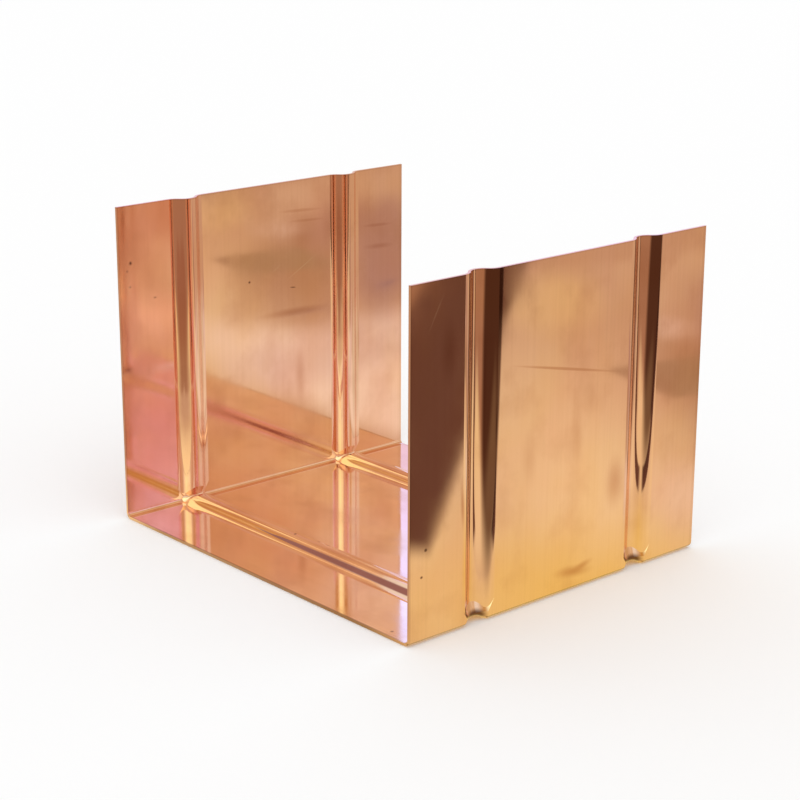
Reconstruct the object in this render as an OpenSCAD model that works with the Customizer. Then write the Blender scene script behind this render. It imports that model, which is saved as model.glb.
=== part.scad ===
// Gutter union: a U-shaped channel folded from one copper sheet.
// X runs across the gutter, Y along it, Z up. The origin is under the middle of the floor.
// Two round beads run up one wall, across the floor and up the other wall. They stand
// into the channel and are hollow outside. Folding presses them down in the corners.

/* [Channel] */
// clear width between the two walls, which is the outer width of the gutter it takes
gutter_w = 100; // [80:1:150]
// clear depth from the floor to the top edges
gutter_d = 74.5; // [55:0.5:120]
// length along the run of the gutter
union_l = 86.5; // [72:0.5:140]

/* [Sheet] */
// thickness of the sheet
sheet_t = 0.6; // [0.5:0.05:0.8]
// radius inside each fold
fold_r = 0.9; // [0.5:0.1:1.4]

/* [Beads] */
// distance from each end of the channel to the middle of its bead
bead_from_end = 19.1; // [14:0.1:28]
// width of a bead from foot to foot
bead_w = 9.6; // [8.6:0.1:11.6]
// how far a bead stands into the channel
bead_h = 2.2; // [1.8:0.1:2.8]
// radius of the hollow along each foot of a bead, inside the channel
bead_foot_r = 2.9; // [2.2:0.1:3.4]

/* [Pressed corners] */
// how far a bead still stands where it goes round a fold
corner_h = 1.15; // [0.9:0.05:1.5]
// how far in each foot of a bead is pressed where it goes round a fold
corner_in = 1.8; // [1.2:0.1:2.2]
// radius at which the pressed crown turns up the wall, inside the channel
corner_r = 0.2; // [0.1:0.05:0.6]
// angle in degrees at which the pressed part opens out again to the full bead
corner_flare = 24; // [18:1:32]

/* [Hidden] */
$fn = 96;
outer_w = gutter_w + 2 * sheet_t;
outer_h = gutter_d + sheet_t;
outer_r = fold_r + sheet_t;
half_bead = bead_w / 2;
bead_y = union_l / 2 - bead_from_end;
// outside, the foot of a bead is a rounded lip and its crown is a hollow; the two arcs are
// tangent but for a lap, so that each runs into the next at a slight angle
lip_r = bead_foot_r + sheet_t;
lap = 0.005;
arc_sum = (half_bead * half_bead + bead_h * bead_h) / (2 * bead_h);
crown_r = arc_sum - lip_r;
crown_n = bead_h - crown_r;
// the pressed crown is a flatter arc, swept round the fold; from there it opens out as a cone
// up the wall and along the floor, until it clears the crown and both feet of the full bead
half_corner = half_bead - corner_in;
flat_r = (half_corner * half_corner + corner_h * corner_h) / (2 * corner_h);
flat_n = flat_r - corner_h;
crest_r = corner_r + sheet_t;
turn = corner_h + crest_r;
// room left between the end of a cone and the full bead
clear = 0.15;
flare_h = max(bead_h, sqrt(flat_n * flat_n + half_bead * half_bead) - flat_n) + clear;
flare_l = (flare_h - corner_h) / tan(corner_flare);
zone = turn + flare_l;
// the cones start this far back inside the turn, and are this much deeper where they leave it;
// the turn runs on this many degrees into the cones
back = 0.5;
flare_lap = 0.02;
turn_lap = 4;
past = 1;

// hollow of one bead in the flat sheet: x along the sheet, y into the channel,
// with every surface offset inward by o
module bead_section(o) {
    tx = (crown_r + o) * half_bead / arc_sum;
    ty = crown_n + (crown_r + o) * (lip_r - crown_n) / arc_sum;
    difference() {
        union() {
            polygon([
                [-half_bead, -past],
                [half_bead, -past],
                [half_bead, o],
                [tx, ty],
                [-tx, ty],
                [-half_bead, o]
            ]);
            intersection() {
                translate([0, crown_n])
                    circle(r = crown_r + o);
                translate([-half_bead, ty])
                    square([bead_w, bead_h + past]);
            }
        }
        for (x = [-half_bead, half_bead])
            translate([x, lip_r])
                circle(r = lip_r - o + lap);
    }
}

// plan of the filled channel between its wall faces
module wall_plan(o, over) {
    half_w = outer_w / 2 - o;
    half_l = union_l / 2 + over;
    difference() {
        translate([-half_w, -half_l])
            square([2 * half_w, 2 * half_l]);
        for (side = [0, 1])
            mirror([side, 0])
                for (y = [-bead_y, bead_y])
                    translate([-outer_w / 2, y])
                        rotate(-90)
                            bead_section(o);
    }
}

// long section of the filled channel above its floor face
module floor_section(o, over) {
    half_l = union_l / 2 + over;
    difference() {
        translate([-half_l, o])
            square([2 * half_l, outer_h + over - o]);
        for (y = [-bead_y, bead_y])
            translate([y, 0])
                bead_section(o);
    }
}

// section of one corner, with its fold rounding, measured from the outer corner point
module corner_section(o) {
    translate([outer_r, o])
        square([zone - outer_r, zone - o]);
    translate([o, outer_r])
        square([outer_r - o, zone - outer_r]);
    intersection() {
        translate([outer_r, outer_r])
            circle(r = outer_r - o);
        translate([o, o])
            square(outer_r - o);
    }
}

// cone of one flare, standing on the end of the turn with its axis along z
module flare(o) {
    length = flare_l + past;
    translate([0, 0, -back])
        cylinder(
            h = back + length,
            r1 = flat_r + flare_lap + o - back * tan(corner_flare),
            r2 = flat_r + flare_lap + o + length * tan(corner_flare)
        );
}

// hollow of the pressed crown: round the fold, then up the wall and out along the floor
module pressed_sweep(o) {
    path_r = crest_r + flat_r;
    translate([turn, 0, turn]) {
        rotate([90, 0, 0])
            rotate_extrude(angle = 90 + 2 * turn_lap, start = 180 - turn_lap)
                translate([path_r, 0])
                    circle(r = flat_r + o);
        translate([-path_r, 0, 0])
            flare(o);
        translate([0, 0, -path_r])
            rotate([0, 90, 0])
                flare(o);
    }
}

// one corner of the filled channel along its whole length
module corner(o, over) {
    half_l = union_l / 2 + over;
    difference() {
        translate([0, half_l, 0])
            rotate([90, 0, 0])
                linear_extrude(2 * half_l)
                    corner_section(o);
        for (y = [-bead_y, bead_y])
            translate([0, y, 0])
                pressed_sweep(o);
    }
}

// the channel as a filled body, with every face offset inward by o
module filled(o, over) {
    difference() {
        intersection() {
            linear_extrude(outer_h + over)
                wall_plan(o, over);
            translate([-outer_w / 2 - past, 0, 0])
                rotate([90, 0, 90])
                    linear_extrude(outer_w + 2 * past)
                        floor_section(o, over);
        }
        for (side = [0, 1])
            mirror([side, 0, 0])
                translate([-outer_w / 2 - past, -union_l, -past])
                    cube([outer_r + past, 2 * union_l, outer_r + past]);
    }
    for (side = [0, 1])
        mirror([side, 0, 0])
            translate([-outer_w / 2, 0, 0])
                corner(o, over);
}

module channel() {
    color("#b87333")
        difference() {
            filled(0, 0);
            filled(sheet_t, past);
        }
}

channel();
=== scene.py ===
"""Looks of a folded copper gutter union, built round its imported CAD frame.

The channel is one sheet, so its CAD mesh stays as it is and gets the copper finish. Everything
else here is the studio round it: a pale floor, soft light, the camera, and a bench card and a
surround that only show as reflections in the bright metal.
"""
import logging
import math
from dataclasses import dataclass, field
from enum import Enum

import bpy
from mathutils import Matrix, Vector


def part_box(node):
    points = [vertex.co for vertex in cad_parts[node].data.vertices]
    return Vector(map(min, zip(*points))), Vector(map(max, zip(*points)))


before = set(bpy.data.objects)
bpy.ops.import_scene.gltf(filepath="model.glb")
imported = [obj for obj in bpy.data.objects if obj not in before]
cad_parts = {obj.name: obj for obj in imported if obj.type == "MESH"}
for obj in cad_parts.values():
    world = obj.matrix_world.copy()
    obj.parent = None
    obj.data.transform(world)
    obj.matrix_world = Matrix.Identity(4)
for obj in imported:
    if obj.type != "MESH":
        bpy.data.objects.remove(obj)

MM = 0.001
# sockets of a Mix node that mixes colours
MIX_SHARE, MIX_BELOW, MIX_ABOVE, MIX_RESULT = 0, 6, 7, 2
Colour = tuple[float, float, float, float]
Triple = tuple[float, float, float]
Pair = tuple[float, float]
Tree = bpy.types.NodeTree
Socket = bpy.types.NodeSocket
log = logging.getLogger("gutter_union")


def linear(code: str, strength: float = 1.0) -> Colour:
    """Turns an sRGB hex code into a linear colour.

    Args:
        code: six hex digits.
        strength: factor on the linear values, for light that is brighter than the code.

    Returns:
        The linear red, green, blue and an alpha of 1.
    """
    values = [int(code[i:i + 2], 16) / 255 for i in (0, 2, 4)]
    parts = [v / 12.92 if v <= 0.04045 else ((v + 0.055) / 1.055) ** 2.4 for v in values]
    return (parts[0] * strength, parts[1] * strength, parts[2] * strength, 1.0)


def add(
    tree: Tree, kind: str, inputs: dict[str | int, object], **settings: object
) -> bpy.types.Node:
    """Adds a node with its settings and links.

    Args:
        tree: the node tree it goes into.
        kind: the node's type name.
        inputs: input name or number to a socket to link, or a value to set.
        settings: properties of the node.

    Returns:
        The new node.
    """
    node = tree.nodes.new(kind)
    for name, value in settings.items():
        setattr(node, name, value)
    for key, value in inputs.items():
        if isinstance(value, Socket):
            tree.links.new(value, node.inputs[key])
        else:
            node.inputs[key].default_value = value
    return node


def new_material(name: str) -> tuple[bpy.types.Material, Tree]:
    """Makes an empty node material.

    Args:
        name: the material's name.

    Returns:
        The material and its cleared node tree.
    """
    material = bpy.data.materials.new(name)
    material.use_nodes = True
    material.node_tree.nodes.clear()
    return material, material.node_tree


class Outline(Enum):
    """Outline of a soft patch."""

    ROUND = "round"
    STRAIGHT = "straight"


@dataclass(frozen=True)
class Patch:
    """Soft-edged patch in space, in millimetres, turned by angles in degrees.

    It fades from `amount` at the share `inner` of its radii to nothing at its outline.
    """

    at: Triple
    radii: Triple
    turn: Triple = (0.0, 0.0, 0.0)
    inner: float = 0.4
    amount: float = 1.0
    outline: Outline = Outline.ROUND

    def over(
        self,
        tree: Tree,
        place: Socket,
        below: Colour | Socket,
        above: Colour,
        where: Socket | None = None,
    ) -> Socket:
        """Lays the patch in one colour over what is below it.

        Args:
            tree: the node tree.
            place: socket of the point in metres.
            below: the lower colour or its socket.
            above: the patch's colour.
            where: socket that holds the patch back where it is 0, if there is one.

        Returns:
            The socket of the mixed colour.
        """
        local = add(
            tree,
            "ShaderNodeMapping",
            {
                "Vector": place,
                "Location": [v * MM for v in self.at],
                "Rotation": [math.radians(v) for v in self.turn],
                "Scale": [v * MM for v in self.radii],
            },
            vector_type="TEXTURE",
        ).outputs["Vector"]
        if self.outline is Outline.STRAIGHT:
            size = add(tree, "ShaderNodeVectorMath", {0: local}, operation="ABSOLUTE")
            axes = add(tree, "ShaderNodeSeparateXYZ", {0: size.outputs["Vector"]}).outputs
            flat = add(tree, "ShaderNodeMath", {0: axes[0], 1: axes[1]}, operation="MAXIMUM")
            far = add(tree, "ShaderNodeMath", {0: flat.outputs[0], 1: axes[2]}, operation="MAXIMUM")
            distance = far.outputs[0]
        else:
            reach = add(tree, "ShaderNodeVectorMath", {0: local}, operation="LENGTH")
            distance = reach.outputs["Value"]
        share = add(
            tree,
            "ShaderNodeMapRange",
            {
                "Value": distance,
                "From Min": 1.0,
                "From Max": self.inner,
                "To Min": 0.0,
                "To Max": self.amount,
            },
            interpolation_type="SMOOTHSTEP",
        ).outputs["Result"]
        if where is not None:
            held = add(tree, "ShaderNodeMath", {0: share, 1: where}, operation="MULTIPLY")
            share = held.outputs[0]
        mixed = add(
            tree,
            "ShaderNodeMix",
            {MIX_SHARE: share, MIX_BELOW: below, MIX_ABOVE: above},
            data_type="RGBA",
        )
        return mixed.outputs[MIX_RESULT]


@dataclass(frozen=True)
class Grain:
    """Noise in a finish, with its grain in millimetres along each axis.

    `detail` is how many finer layers it has. `shift` moves it in grains, so that two noises differ.
    """

    size: Triple
    detail: float
    shift: float = 0.0

    def draw(self, tree: Tree, place: Socket) -> Socket:
        """Draws the noise in a material.

        Args:
            tree: the node tree.
            place: socket of the point in metres.

        Returns:
            The socket of the noise, about 0.3 to 0.7.
        """
        stretched = add(
            tree,
            "ShaderNodeMapping",
            {
                "Vector": place,
                "Location": (self.shift,) * 3,
                "Scale": [1.0 / (v * MM) for v in self.size],
            },
        )
        noise = add(
            tree,
            "ShaderNodeTexNoise",
            {"Vector": stretched.outputs["Vector"], "Scale": 1.0, "Detail": self.detail},
        )
        return noise.outputs["Fac"]


@dataclass(frozen=True)
class Film:
    """Film on the metal, which grows from nothing to `most` as its noise goes from low to high."""

    grain: Grain
    colour: str
    low: float
    high: float
    most: float

    def over(self, tree: Tree, noise: Socket, below: Colour | Socket) -> Socket:
        """Lays the film over what is below it.

        Args:
            tree: the node tree.
            noise: socket of the film's noise.
            below: the lower colour or its socket.

        Returns:
            The socket of the mixed colour.
        """
        share = add(
            tree,
            "ShaderNodeMapRange",
            {"Value": noise, "From Min": self.low, "From Max": self.high, "To Max": self.most},
        ).outputs["Result"]
        mixed = add(
            tree,
            "ShaderNodeMix",
            {MIX_SHARE: share, MIX_BELOW: below, MIX_ABOVE: linear(self.colour)},
            data_type="RGBA",
        )
        return mixed.outputs[MIX_RESULT]


# Bright cold-rolled copper sheet, folded and beaded by machine, handled but not polished. To the
# eye it is a slightly hazy pink-orange mirror with faint rolling lines, golden and rosy clouds of
# thin oxide, finger smudges, specks, scratches, dull cut edges and painted shade in hollows and
# folds.
@dataclass(frozen=True)
class RolledCopper:
    """Finish of the copper sheet.

    A pair of values says where something starts and where it is full.
    """

    tint: str = "F7D9CA"
    smudged: str = "CF9F84"
    dark: str = "5A3424"
    bright: str = "FFEDE0"
    # thin oxide, in clouds as wide as a thumb
    golden: Film = Film(Grain((24.0, 16.8, 24.0), 4.0), "F4CFA4", 0.42, 0.66, 0.35)
    rosy: Film = Film(Grain((33.6, 24.0, 33.6), 3.0, 7.3), "F0BDB0", 0.45, 0.68, 0.35)
    # smudges as wide as a fingertip, which also haze the mirror from one roughness to the other
    smudges: Film = Film(Grain((13.0, 10.4, 13.0), 5.0, 3.1), smudged, 0.5, 0.75, 0.35)
    haze: Pair = (0.4, 0.7)
    roughness: Pair = (0.05, 0.11)
    # real rolling lines are a few hundredths of a millimetre wide; these are 0.6 mm, so they show
    lines: Film = Film(Grain((70.0, 0.6, 70.0), 2.0), smudged, 0.45, 0.8, 0.1)
    line_depth_mm: float = 0.0001
    # slow waves that rolling and folding leave in the sheet
    waves: Grain = Grain((34.0, 34.0, 34.0), 0.0, 1.7)
    wave_depth_mm: float = 0.07
    # dark specks, one in every third cell of this size, where the cell's chance is high enough
    speck_gap_mm: float = 9.0
    speck_radii_mm: Pair = (0.405, 0.18)
    speck_chance: Pair = (0.66, 0.7)
    speck_amount: float = 0.8
    # painted shade in the hollows keeps to outward-turned faces of the near wall, by their normal's
    # x
    outward: Pair = (0.02, 0.2)

    def build(self) -> bpy.types.Material:
        """Makes the node material.

        Returns:
            The copper material.
        """
        material, tree = new_material("bright_rolled_copper")
        coords = add(tree, "ShaderNodeTexCoord", {}).outputs
        place = coords["Object"]
        smudges = self.smudges.grain.draw(tree, place)
        lines = self.lines.grain.draw(tree, place)
        filmed = self._films(tree, place, smudges, lines)
        haze = add(
            tree,
            "ShaderNodeMapRange",
            {
                "Value": smudges,
                "From Min": self.haze[0],
                "From Max": self.haze[1],
                "To Min": self.roughness[0],
                "To Max": self.roughness[1],
            },
        )
        shader = add(
            tree,
            "ShaderNodeBsdfPrincipled",
            {
                "Base Color": self._marks(tree, place, coords["Normal"], filmed),
                "Metallic": 1.0,
                "Roughness": haze.outputs["Result"],
                "Normal": self._relief(tree, place, lines),
            },
        )
        add(tree, "ShaderNodeOutputMaterial", {"Surface": shader.outputs["BSDF"]})
        return material

    def _films(self, tree: Tree, place: Socket, smudges: Socket, lines: Socket) -> Socket:
        """Lays oxide, smudges, rolling lines and specks over the bare metal.

        Args:
            tree: the node tree.
            place: socket of the point in metres.
            smudges: socket of the smudges' noise.
            lines: socket of the rolling lines' noise.

        Returns:
            The socket of the filmed colour.
        """
        colour: Colour | Socket = linear(self.tint)
        for film, noise in (
            (self.golden, self.golden.grain.draw(tree, place)),
            (self.rosy, self.rosy.grain.draw(tree, place)),
            (self.smudges, smudges),
            (self.lines, lines),
        ):
            colour = film.over(tree, noise, colour)
        specked = add(
            tree,
            "ShaderNodeMix",
            {
                MIX_SHARE: self._specks(tree, place),
                MIX_BELOW: colour,
                MIX_ABOVE: linear(self.dark),
            },
            data_type="RGBA",
        )
        return specked.outputs[MIX_RESULT]

    def _specks(self, tree: Tree, place: Socket) -> Socket:
        """Scatters small round specks.

        Args:
            tree: the node tree.
            place: socket of the point in metres.

        Returns:
            The socket of how much speck is at the point.
        """
        outer, full = (v / self.speck_gap_mm for v in self.speck_radii_mm)
        cells = add(
            tree, "ShaderNodeTexVoronoi", {"Vector": place, "Scale": 1.0 / (self.speck_gap_mm * MM)}
        )
        near = add(
            tree,
            "ShaderNodeMapRange",
            {"Value": cells.outputs["Distance"], "From Min": outer, "From Max": full},
        )
        chance = add(tree, "ShaderNodeSeparateColor", {"Color": cells.outputs["Color"]})
        kept = add(
            tree,
            "ShaderNodeMapRange",
            {
                "Value": chance.outputs["Red"],
                "From Min": self.speck_chance[0],
                "From Max": self.speck_chance[1],
                "To Max": self.speck_amount,
            },
        )
        speck = add(
            tree,
            "ShaderNodeMath",
            {0: near.outputs["Result"], 1: kept.outputs["Result"]},
            operation="MULTIPLY",
        )
        return speck.outputs[0]

    def _marks(self, tree: Tree, place: Socket, normal: Socket, colour: Socket) -> Socket:
        """Lays the single marks and the painted shade over the filmed metal, each at its own place.

        Args:
            tree: the node tree.
            place: socket of the point in metres.
            normal: socket of the face's direction.
            colour: socket of the filmed colour.

        Returns:
            The socket of the finished colour.
        """
        for patches, tone in (
            (STAINS_AND_SHADE, self.smudged),
            (SPOTS_AND_FOLD_SHADE, self.dark),
            (EDGES, self.dark),
            (SCRATCHES, self.bright),
        ):
            for patch in patches:
                colour = patch.over(tree, place, colour, linear(tone))
        across = add(tree, "ShaderNodeSeparateXYZ", {0: normal}).outputs[0]
        outer_face = add(
            tree,
            "ShaderNodeMapRange",
            {"Value": across, "From Min": self.outward[0], "From Max": self.outward[1]},
        ).outputs["Result"]
        # painted dark reflection and shadow in the outer hollows, on outward faces only
        for patch in PAINTED_HOLLOW_SHADE:
            colour = patch.over(tree, place, colour, linear(self.dark), outer_face)
        return colour

    def _relief(self, tree: Tree, place: Socket, lines: Socket) -> Socket:
        """Raises the slow waves and the rolling lines.

        Args:
            tree: the node tree.
            place: socket of the point in metres.
            lines: socket of the rolling lines' noise.

        Returns:
            The socket of the normal.
        """
        soft = add(
            tree,
            "ShaderNodeBump",
            {"Height": self.waves.draw(tree, place), "Distance": self.wave_depth_mm * MM},
        )
        fine = add(
            tree,
            "ShaderNodeBump",
            {
                "Height": lines,
                "Distance": self.line_depth_mm * MM,
                "Normal": soft.outputs["Normal"],
            },
        )
        return fine.outputs["Normal"]


# smears and brown haze, and one painted shade, by place in millimetres
STAINS_AND_SHADE = (
    # near wall: smears by the lower edge, a line, a painted shade by the foot of a hollow, haze
    Patch((50.6, 4.0, 4.3), (1.0, 7.5, 1.8), (-8.0, 0.0, 0.0), 0.0, 0.8),
    Patch((50.6, 7.0, 5.0), (1.0, 4.0, 1.2), (10.0, 0.0, 0.0), 0.0, 0.7),
    Patch((50.6, 0.5, 50.5), (1.0, 19.0, 0.45), (-12.5, 0.0, 0.0), 0.3, 0.7),
    Patch((50.6, -28.8, 27.0), (1.2, 0.9, 7.0), (3.0, 0.0, 0.0), 0.0, 0.8),
    # painted shade by the near foot of the second outer hollow
    Patch((50.6, 16.5, 22.0), (1.0, 4.0, 8.0), (0.0, 0.0, 0.0), 0.0, 0.65),
    Patch((50.6, -10.0, 33.0), (1.0, 3.0, 8.0), (0.0, 0.0, 0.0), 0.0, 0.35),
    Patch((50.6, 4.0, 36.0), (1.0, 2.2, 12.0), (4.0, 0.0, 0.0), 0.0, 0.3),
    Patch((50.6, -33.0, 60.0), (1.0, 3.0, 9.0), (0.0, 0.0, 0.0), 0.0, 0.5),
    # far wall: a smear and streaks beside the beads
    Patch((-50.0, 9.5, 25.0), (1.0, 2.2, 10.0), (0.0, 0.0, 0.0), 0.0, 0.5),
    Patch((-50.0, 7.5, 42.3), (1.0, 13.0, 1.5), (-1.0, 0.0, 0.0), 0.0, 0.6),
    Patch((-50.0, 10.5, 63.0), (1.0, 6.5, 7.0), (0.0, 0.0, 0.0), 0.0, 0.5),
    Patch((-50.0, 10.0, 67.5), (1.0, 8.0, 0.6), (-3.0, 0.0, 0.0), 0.2, 0.4),
    Patch((-50.0, 12.0, 64.8), (1.0, 7.0, 0.5), (-3.0, 0.0, 0.0), 0.2, 0.4),
    Patch((-50.0, 35.0, 60.5), (1.0, 6.0, 0.6), (-3.0, 0.0, 0.0), 0.2, 0.4),
    Patch((-50.0, 35.5, 55.0), (1.0, 6.0, 1.0), (-3.0, 0.0, 0.0), 0.0, 0.45),
)
# dark spots, and painted shade along the outside of the two folds
SPOTS_AND_FOLD_SHADE = (
    Patch((-50.0, -40.0, 61.6), (1.0, 0.55, 0.6), inner=0.2, amount=0.8),
    Patch((-50.0, -41.0, 59.8), (1.0, 0.35, 0.35), inner=0.2, amount=0.6),
    Patch((-50.0, -40.3, 56.0), (1.0, 0.35, 0.35), inner=0.2, amount=0.6),
    Patch((-50.0, -33.5, 52.5), (1.0, 0.6, 0.3), inner=0.2, amount=0.5),
    Patch((-50.0, -5.9, 51.8), (1.0, 0.45, 0.4), inner=0.3, amount=0.8),
    Patch((-50.0, 7.5, 48.5), (1.0, 1.2, 0.25), (-8.0, 0.0, 0.0), 0.3, 0.6),
    Patch((50.6, -38.9, 20.0), (1.0, 0.55, 0.5), inner=0.3, amount=0.8),
    Patch((50.6, -40.0, 14.4), (1.0, 0.5, 0.4), inner=0.3, amount=0.8),
    # painted shade along the outside of the two folds
    Patch((50.9, 0.0, -0.3), (1.2, 60.0, 1.2), inner=0.6, amount=0.8, outline=Outline.STRAIGHT),
    Patch((-50.9, 0.0, -0.3), (1.2, 60.0, 1.2), inner=0.6, amount=0.8, outline=Outline.STRAIGHT),
)
# dull sheared edges of the sheet, at the top of both walls and at both ends
EDGES = (
    Patch((0.0, 0.0, 75.3), (60.0, 60.0, 0.6), inner=0.4, amount=0.6, outline=Outline.STRAIGHT),
    Patch((0.0, -43.5, 37.5), (60.0, 0.7, 60.0), inner=0.4, amount=0.85, outline=Outline.STRAIGHT),
    Patch((0.0, 43.5, 37.5), (60.0, 1.2, 60.0), inner=0.3, amount=0.6, outline=Outline.STRAIGHT),
)
# painted dark reflection down one side of the two outer hollows of the near wall, narrowing to a
# point
PAINTED_HOLLOW_SHADE = (
    Patch((49.5, -20.3, 78.0), (9.0, 2.2, 76.0), (-0.7, 0.0, 0.0), 0.75, 0.9),
    Patch((49.5, 27.75, 78.0), (9.0, 1.5, 64.0), (-0.85, 0.0, 0.0), 0.7, 0.88),
    # painted shadow where the hollows end in the fold
    Patch((49.8, -24.0, 0.9), (3.5, 3.4, 2.3), (0.0, 0.0, 0.0), 0.5, 0.9),
    Patch((49.8, 24.2, 0.9), (3.5, 3.4, 2.3), (0.0, 0.0, 0.0), 0.5, 0.9),
)
# thin bright scratches, and a nick across each bead of the far wall
SCRATCHES = (
    Patch((50.6, -36.5, 68.6), (1.0, 0.22, 5.8), (-29.0, 0.0, 0.0), 0.3, 0.9),
    Patch((-50.0, 10.0, 53.0), (1.0, 7.3, 0.14), (29.0, 0.0, 0.0), 0.3, 0.7),
    Patch((-50.0, 2.5, 54.0), (1.0, 1.8, 0.12), (32.0, 0.0, 0.0), 0.3, 0.7),
    Patch((-47.8, -27.9, 47.5), (1.6, 1.5, 0.28), (0.0, 0.0, 0.0), 0.3, 1.0),
    Patch((-47.8, 19.9, 64.3), (1.6, 1.5, 0.28), (0.0, 0.0, 0.0), 0.3, 1.0),
)


# Studio floor in matt white emulsion, rolled on. To the eye it is an even white without gloss,
# which shows only the soft shadow.
@dataclass(frozen=True)
class PaintedFloor:
    """Finish of the studio floor."""

    colour: str = "FDFDFD"

    def build(self) -> bpy.types.Material:
        """Makes the node material.

        Returns:
            The floor material.
        """
        material, tree = new_material("matt_white_floor")
        shader = add(
            tree,
            "ShaderNodeBsdfPrincipled",
            {"Base Color": linear(self.colour), "Roughness": 1.0, "Specular IOR Level": 0.0},
        )
        add(tree, "ShaderNodeOutputMaterial", {"Surface": shader.outputs["BSDF"]})
        return material


# Backlit card in soft tones, printed out of focus. The eye sees it only as the light and dark in
# the bright metal.
@dataclass(frozen=True)
class SoftCard:
    """Finish of a card that the metal mirrors."""

    name: str
    colour: Colour
    patches: tuple[tuple[Patch, Colour], ...]
    strength: float = 1.08

    def build(self) -> bpy.types.Material:
        """Makes the node material.

        Returns:
            The card's material.
        """
        material, tree = new_material(self.name)
        place = add(tree, "ShaderNodeTexCoord", {}).outputs["Object"]
        colour: Colour | Socket = self.colour
        for patch, tone in self.patches:
            colour = patch.over(tree, place, colour, tone)
        glow = add(tree, "ShaderNodeEmission", {"Color": colour, "Strength": self.strength})
        add(tree, "ShaderNodeOutputMaterial", {"Surface": glow.outputs["Emission"]})
        return material


@dataclass
class Channel:
    """The folded copper sheet itself."""

    finish: RolledCopper = field(default_factory=RolledCopper)
    node: str = "channel"

    def dress(self) -> None:
        """Gives the CAD node its copper finish."""
        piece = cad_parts[self.node]
        material = self.finish.build()
        for slot in piece.material_slots:
            slot.material = material
        low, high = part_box(self.node)
        size = [round(v / MM, 1) for v in high - low]
        log.info("%s: %s mm, %s", self.node, size, material.name)


def lay_square(name: str, size: float, height: float) -> bpy.types.Object:
    """Lays a flat stage square round the origin, with its place in its mesh.

    Args:
        name: the object's name.
        size: its side in millimetres.
        height: its height in millimetres.

    Returns:
        The square.
    """
    bpy.ops.object.select_all(action="DESELECT")
    bpy.ops.mesh.primitive_plane_add(size=size * MM, location=(0.0, 0.0, height * MM))
    square = bpy.context.active_object
    square.name = name
    bpy.ops.object.transform_apply(location=True, rotation=True, scale=True)
    log.info("%s: %g mm square at %g mm", name, size, height)
    return square


@dataclass
class Floor:
    """Studio floor, just under the object, in millimetres."""

    size: float = 12000.0
    drop: float = 0.15

    def build(self) -> None:
        """Lays the floor and paints it."""
        floor = lay_square("floor", self.size, -self.drop)
        floor.data.materials.append(PaintedFloor().build())


@dataclass
class Surroundings:
    """Bench card and surround, which only the metal sees, in millimetres."""

    radius: float = 1500.0
    bench_drop: float = 0.05
    # how far a bench patch reaches up and down, which is as good as without end
    bench_reach: float = 1e6
    segments: int = 96
    rings: int = 48

    def build(self) -> None:
        """Builds both cards."""
        self._bench()
        self._surround()

    def _bench(self) -> None:
        """Lays the bench card over the floor."""
        bench = lay_square("bench_card", 2 * self.radius, -self.bench_drop)
        bench.data.materials.append(SoftCard("bench_card", BENCH, self._bench_patches()).build())
        self._mirror_only(bench)
        log.info("%s: %s", bench.name, ", ".join(tone.what for tone in BENCH_TONES))

    def _surround(self) -> None:
        """Closes a ball round the object."""
        bpy.ops.object.select_all(action="DESELECT")
        bpy.ops.mesh.primitive_uv_sphere_add(
            segments=self.segments,
            ring_count=self.rings,
            radius=self.radius * MM,
            location=(0.0, 0.0, 0.0),
        )
        ball = bpy.context.active_object
        ball.name = "surround_card"
        ball.data.materials.append(SoftCard("surround_card", ROOM, self._room_patches()).build())
        self._mirror_only(ball)
        log.info("%s: ball of %g mm radius", ball.name, self.radius)
        log.info("%s: %s", ball.name, ", ".join(tone.what for tone in ROOM_TONES))

    @staticmethod
    def _mirror_only(card: bpy.types.Object) -> None:
        """Lets a card show in mirror reflections and nowhere else.

        Args:
            card: the card.
        """
        card.visible_camera = False
        card.visible_diffuse = False
        card.visible_shadow = False
        card.visible_transmission = False
        card.visible_volume_scatter = False

    def _bench_patches(self) -> tuple[tuple[Patch, Colour], ...]:
        """Turns the bench's tones into patches on the ground.

        Returns:
            Each patch with its colour.
        """
        found = []
        for tone in BENCH_TONES:
            patch = Patch(
                (*tone.at, 0.0),
                (*tone.radii, self.bench_reach),
                (0.0, 0.0, tone.turn),
                tone.inner,
                outline=tone.outline,
            )
            found.append((patch, tone.colour))
        return tuple(found)

    def _room_patches(self) -> tuple[tuple[Patch, Colour], ...]:
        """Turns the room's tones into patches on the ball.

        Returns:
            Each patch with its colour.
        """
        found = []
        for tone in ROOM_TONES:
            bearing, rise, roll = (math.radians(v) for v in (*tone.at, tone.turn))
            axes = (
                Matrix.Rotation(bearing + math.pi / 2, 3, "Z")
                @ Matrix.Rotation(math.pi / 2 - rise, 3, "X")
                @ Matrix.Rotation(roll, 3, "Z")
            )
            middle = axes @ Vector((0.0, 0.0, self.radius))
            across = [math.radians(v) * self.radius for v in tone.radii]
            turn = tuple(math.degrees(v) for v in axes.to_euler())
            patch = Patch(tuple(middle), (*across, self.radius), turn, tone.inner)
            found.append((patch, tone.colour))
        return tuple(found)


@dataclass(frozen=True)
class Tone:
    """Soft patch of light that the metal mirrors.

    Its place and radii are millimetres on the bench, or degrees of bearing and rise in the room.
    """

    what: str
    at: Pair
    radii: Pair
    turn: float
    inner: float
    colour: Colour
    outline: Outline = Outline.ROUND


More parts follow.
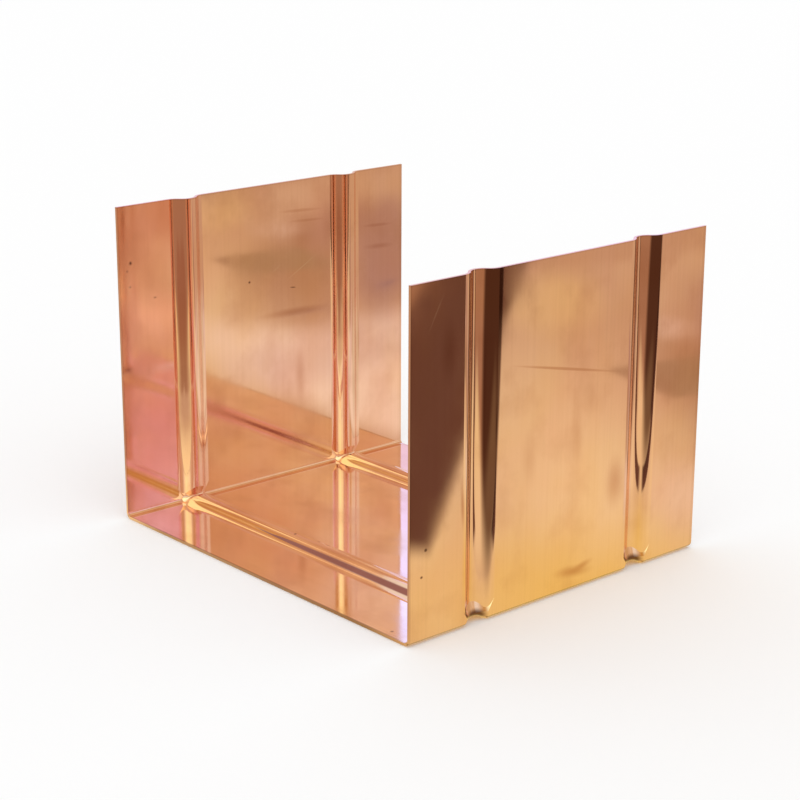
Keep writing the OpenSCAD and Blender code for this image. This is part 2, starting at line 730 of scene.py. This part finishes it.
# ground, pale in the middle, and dark to the right of a line from the object's front corner
BENCH = linear("CBA887")
BENCH_TONES = (
    Tone("warm far end", (182.4, 225.6), (130.4, 38.5), 27.9, 0.67, linear("D0AE8C")),
    Tone("pale middle", (81.1, 41.1), (242.0, 61.0), 41.5, -0.06, linear("F3DBAA")),
    Tone("golden middle", (45.1, 1.3), (66.2, 92.0), 44.0, 0.01, linear("EDCD74")),
    Tone("pale back", (-45.2, 79.8), (161.5, 43.2), -1.4, 0.52, linear("F6E1C9")),
    Tone("tan back", (36.3, 101.5), (113.2, 34.9), 76.8, 0.17, linear("E5CCBB")),
    Tone("brown shade", (133.9, 156.4), (104.7, 29.1), 39.0, 0.17, linear("B8906E")),
    Tone("grey shade", (139.3, 202.8), (130.6, 14.9), 42.2, 0.5, linear("B38E7E")),
    Tone("right shade", (181.0, 218.6), (90.8, 23.2), 43.3, 0.03, linear("B08773")),
    Tone("far edge", (306.1, 267.9), (53.9, 73.9), 12.0, 0.72, linear("C59F7E")),
    Tone("left ground", (-189.6, 189.6), (224.1, 146.8), -23.9, 0.6, linear("D7B79C")),
    Tone("left near", (-63.1, 122.0), (77.7, 102.6), -49.2, 0.45, linear("E2CDAF")),
    Tone("brown block", (145.0, 153.0), (18.5, 21.0), 11.5, 0.8, linear("AF8E6C"),
         Outline.STRAIGHT),
    Tone("dark slot", (79.0, 117.0), (3.5, 18.0), 3.0, 0.1, linear("AD8979")),
    Tone("dark strip", (91.0, 160.0), (13.0, 3.0), 69.0, 0.1, linear("9B7C7C")),
    Tone("pale far", (235.0, 186.0), (60.0, 24.0), 48.0, 0.3, linear("DCBE8F")),
    Tone("pale gap", (187.0, 190.0), (20.0, 14.0), 48.0, 0.2, linear("D9BBA2")),
    Tone("brown right", (348.8, -9.5), (420.0, 200.0), 49.5, 0.97, linear("A87C5E"),
         Outline.STRAIGHT),
    Tone("golden right", (140.0, -20.0), (150.0, 75.0), 30.0, 0.3, linear("EDD3A2")),
    Tone("dark edge near", (131.5, 32.0), (63.0, 11.0), 49.5, 0.75, linear("674536"),
         Outline.STRAIGHT),
    Tone("dark edge far", (252.5, 160.4), (165.0, 18.5), 49.5, 0.8, linear("674536"),
         Outline.STRAIGHT),
    Tone("brown front", (100.0, -195.0), (120.0, 100.0), 0.0, 0.5, linear("9E6C50")),
    Tone("bright front", (-38.0, -45.0), (60.0, 50.0), 0.0, 0.1, linear("F9E1AA", 1.1)),
)
# walls and ceiling, with cool light from the back left and a warm lamp at the front
ROOM = linear("EFE7D7")
ROOM_TONES = (
    Tone("back wall", (37.4, 15.2), (24.8, 10.6), -56.5, 0.41, linear("DCBC92")),
    Tone("bright back", (42.2, 17.7), (8.7, 5.0), 10.4, 0.45, linear("E9D4AE")),
    Tone("ceiling", (63.1, 49.2), (46.1, 21.8), 8.5, 0.27, linear("D2A778")),
    Tone("low right", (69.0, 4.0), (39.8, 5.1), -26.7, 0.44, linear("D1AD7B")),
    Tone("window", (138.7, 24.3), (45.6, 24.8), 12.3, 0.62, linear("EEDCFF", 1.08)),
    Tone("left wall", (219.4, 32.9), (10.4, 26.4), 46.7, 0.63, linear("976F69")),
    Tone("front wall", (342.3, 33.0), (34.1, 24.9), -4.8, 0.19, linear("C5923C")),
    Tone("pale ceiling", (364.3, 51.1), (24.0, 35.2), -20.2, 0.33, linear("DBC298")),
    Tone("window sill", (138.2, 12.5), (17.0, 7.5), 34.7, -0.14, linear("E3C4AE")),
    Tone("front lamp", (297.5, 37.5), (35.0, 35.0), 0.0, 0.3, linear("F5FFC6", 1.5)),
    Tone("overhead lamp", (300.0, 70.0), (50.0, 26.0), 0.0, 0.3, linear("FFFFDC", 1.3)),
    Tone("window pane", (132.2, 28.7), (19.2, 13.2), 2.0, 0.39, linear("C0CBFF", 1.85)),
)


@dataclass
class StudioLight:
    """Even white world, and one broad soft light from above, in millimetres and degrees."""

    world_strength: float = 0.86
    shown_strength: float = 1.0
    sun_strength: float = 0.53
    sun_angle: float = 60.0
    sun_place: Triple = (300.0, -300.0, 900.0)

    def build(self) -> None:
        """Sets the world and adds the light."""
        self._world()
        self._sun()
        log.info("world %g, sun %g", self.world_strength, self.sun_strength)

    def _world(self) -> None:
        """Sets an even white world, at its shown strength where the camera or a mirror sees it."""
        world = bpy.data.worlds.new("white_surround")
        bpy.context.scene.world = world
        world.use_nodes = True
        tree = world.node_tree
        tree.nodes.clear()
        rays = add(tree, "ShaderNodeLightPath", {}).outputs
        seen = add(
            tree,
            "ShaderNodeMath",
            {0: rays["Is Camera Ray"], 1: rays["Is Glossy Ray"]},
            operation="MAXIMUM",
        )
        seen = add(
            tree,
            "ShaderNodeMath",
            {0: seen.outputs[0], 1: rays["Is Transmission Ray"]},
            operation="MAXIMUM",
        )
        strength = add(
            tree,
            "ShaderNodeMapRange",
            {
                "Value": seen.outputs[0],
                "To Min": self.world_strength,
                "To Max": self.shown_strength,
            },
        )
        sky = add(
            tree,
            "ShaderNodeBackground",
            {"Color": linear("FFFFFF"), "Strength": strength.outputs["Result"]},
        )
        add(tree, "ShaderNodeOutputWorld", {"Surface": sky.outputs["Background"]})

    def _sun(self) -> None:
        """Adds the broad soft light, for the shadow on the floor."""
        data = bpy.data.lights.new("broad_soft_light", "SUN")
        data.energy = self.sun_strength
        data.angle = math.radians(self.sun_angle)
        lamp = bpy.data.objects.new("broad_soft_light", data)
        lamp.location = Vector(self.sun_place) * MM
        lamp.rotation_euler = (-lamp.location).to_track_quat("-Z", "Y").to_euler()
        lamp.visible_glossy = False
        bpy.context.scene.collection.objects.link(lamp)


@dataclass(frozen=True)
class ViewPoint:
    """The photograph's camera, fitted to the object's outlines, in millimetres and degrees."""

    place: Triple = (327.865, -290.637, 164.259)
    bearing: float = 48.565
    fall: float = 16.766
    roll: float = 0.174
    lens: float = 89.84
    sensor: float = 36.0
    near: float = 10.0

    def build(self) -> None:
        """Makes the camera and sets it as the scene's."""
        data = bpy.data.cameras.new("photo_view")
        data.sensor_width = self.sensor
        data.lens = self.lens
        data.clip_start = self.near * MM
        camera = bpy.data.objects.new("photo_view", data)
        turn, tilt = math.radians(self.bearing), math.radians(self.fall)
        ahead = Vector(
            (-math.sin(turn) * math.cos(tilt), math.cos(turn) * math.cos(tilt), -math.sin(tilt))
        )
        level = ahead.to_track_quat("-Z", "Y").to_matrix().to_4x4()
        rolled = Matrix.Rotation(math.radians(-self.roll), 4, ahead) @ level
        camera.matrix_world = Matrix.Translation(Vector(self.place) * MM) @ rolled
        bpy.context.scene.collection.objects.link(camera)
        bpy.context.scene.camera = camera
        log.info("%s: %g mm lens", camera.name, self.lens)


def main() -> None:
    """Builds the scene in order."""
    logging.basicConfig(level=logging.INFO, format="%(message)s")
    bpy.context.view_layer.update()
    bpy.context.scene.view_settings.view_transform = "Standard"
    Channel().dress()
    Floor().build()
    Surroundings().build()
    StudioLight().build()
    ViewPoint().build()


if __name__ == "__main__":
    main()
